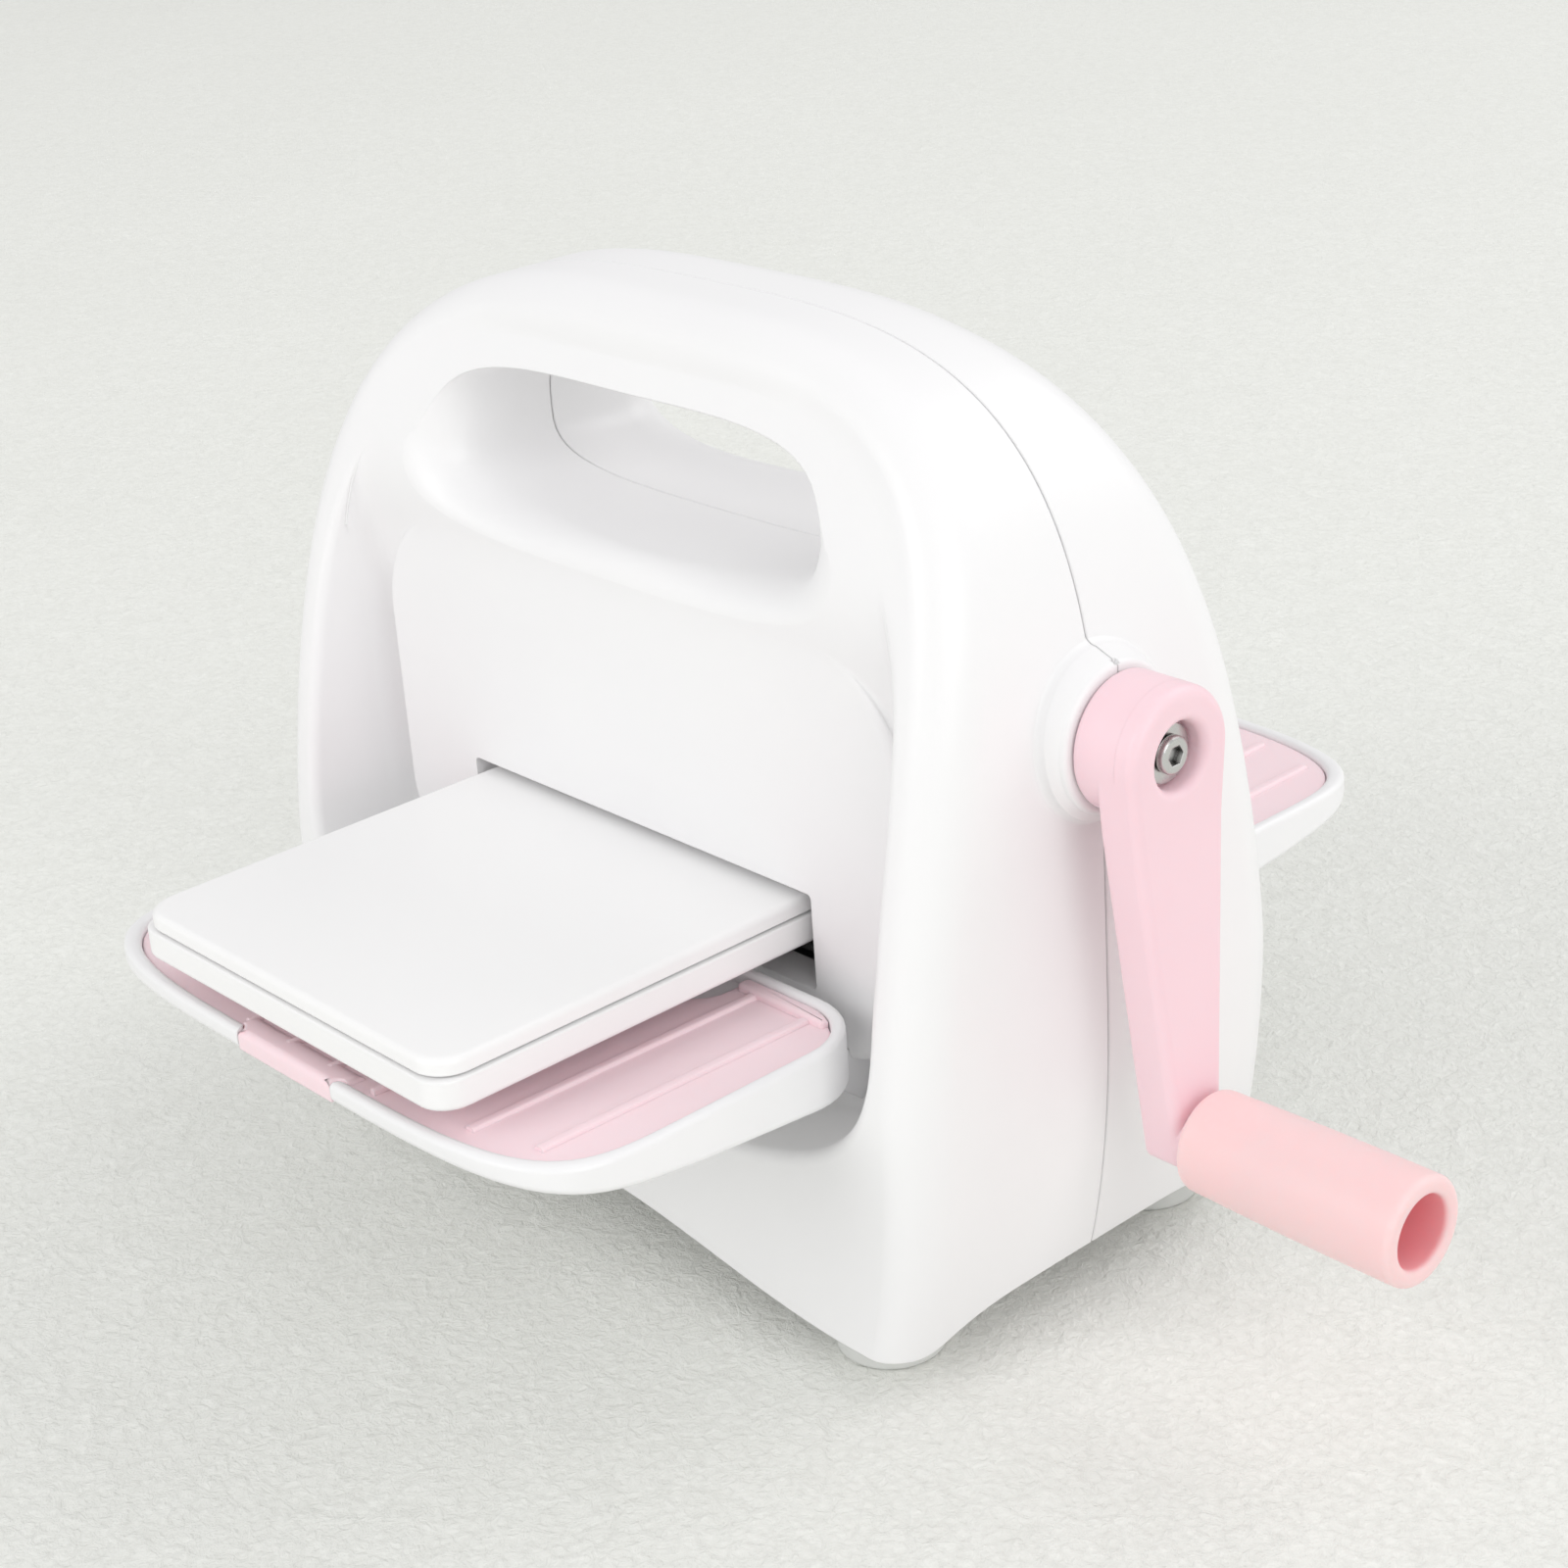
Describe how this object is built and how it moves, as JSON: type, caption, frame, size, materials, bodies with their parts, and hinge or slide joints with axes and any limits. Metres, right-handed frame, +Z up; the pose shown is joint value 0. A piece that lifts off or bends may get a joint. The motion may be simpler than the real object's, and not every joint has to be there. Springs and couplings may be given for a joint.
{
  "type": "die cutting machine",
  "caption": "Small hand cranked die cutting machine with an arched housing, a carrying handle, fold-out trays, geared pressure rollers and a stack of cutting plates.",
  "frame": {"origin": "middle of the overall box, on the surface that the feet stand on, with both trays folded down", "axes": "+X towards the crank, parallel to the rollers; +Y towards the back, the way the plates pass; +Z up"},
  "size_m": [0.207, 0.1804, 0.1457],
  "materials": {
    "housing": "satin white moulding",
    "tray_rim": "satin white moulding",
    "pink": "soft pink moulding",
    "grip": "warm pink moulding",
    "plates": "smooth white sheet",
    "steel": "turned",
    "gear_steel": "sintered",
    "frame_steel": "punched sheet",
    "bronze": "sintered bronze",
    "feet": "pale rubber"
  },
  "bodies": {
    "housing": {"front_shell": "housing", "rear_shell": "housing", "left_frame": "frame_steel", "right_frame": "frame_steel", "lower_front_tie_rod": "frame_steel", "lower_rear_tie_rod": "frame_steel", "upper_front_tie_rod": "frame_steel", "upper_rear_tie_rod": "frame_steel", "lower_left_roller_bush": "bronze", "lower_right_roller_bush": "bronze", "upper_left_roller_bush": "bronze", "upper_right_roller_bush": "bronze", "crank_frame_bush": "bronze", "crank_boss_bush": "bronze", "front_left_hinge_pin": "steel", "front_right_hinge_pin": "steel", "rear_left_hinge_pin": "steel", "rear_right_hinge_pin": "steel", "front_left_foot": "feet", "front_right_foot": "feet", "rear_left_foot": "feet", "rear_right_foot": "feet", "lower_left_housing_screw": "steel", "lower_right_housing_screw": "steel", "upper_left_housing_screw": "steel", "upper_right_housing_screw": "steel"},
    "crank": {"crank_shaft": "steel", "crank_pinion": "gear_steel", "crank_arm": "pink", "crank_washer": "steel", "crank_screw": "steel", "grip_screw": "steel"},
    "grip_sleeve": {"grip": "grip"},
    "upper_roller_set": {"upper_roller": "steel", "upper_roller_gear": "gear_steel"},
    "lower_roller_set": {"lower_roller": "steel", "lower_roller_gear": "gear_steel"},
    "front_tray_set": {"front_tray": "tray_rim", "front_tray_insert": "pink"},
    "rear_tray_set": {"rear_tray": "tray_rim", "rear_tray_insert": "pink"},
    "plate_stack": {"base_plate": "plates", "top_plate": "plates"}
  },
  "joints": [
    {"name": "crank_turn", "type": "hinge", "parent": "housing", "child": "crank", "pos_m": [0.03, 0, 0.09327], "axis": [1, 0, 0], "continuous": true},
    {"name": "grip_spin", "type": "hinge", "parent": "crank", "child": "grip_sleeve", "pos_m": [0.08, 0, 0.03597], "axis": [1, 0, 0], "continuous": true},
    {"name": "upper_roller_turn", "type": "hinge", "parent": "housing", "child": "upper_roller_set", "pos_m": [-0.0275, 0, 0.0727], "axis": [1, 0, 0], "continuous": true},
    {"name": "lower_roller_turn", "type": "hinge", "parent": "housing", "child": "lower_roller_set", "pos_m": [-0.0275, 0, 0.0485], "axis": [1, 0, 0], "continuous": true},
    {"name": "front_tray_fold", "type": "hinge", "parent": "housing", "child": "front_tray_set", "pos_m": [-0.0275, -0.0308, 0.0465], "axis": [-1, 0, 0], "range_deg": [0, 2]},
    {"name": "rear_tray_fold", "type": "hinge", "parent": "housing", "child": "rear_tray_set", "pos_m": [-0.0275, 0.0308, 0.0465], "axis": [1, 0, 0], "range_deg": [0, 86]},
    {"name": "plates_slide", "type": "slide", "parent": "housing", "child": "plate_stack", "axis": [0, -1, 0], "range_m": [-0.085, 0.017]}
  ],
  "couplings": [
    {"joint": "upper_roller_turn", "follows": "crank_turn", "ratio": -0.7},
    {"joint": "lower_roller_turn", "follows": "crank_turn", "ratio": 0.7}
  ]
}
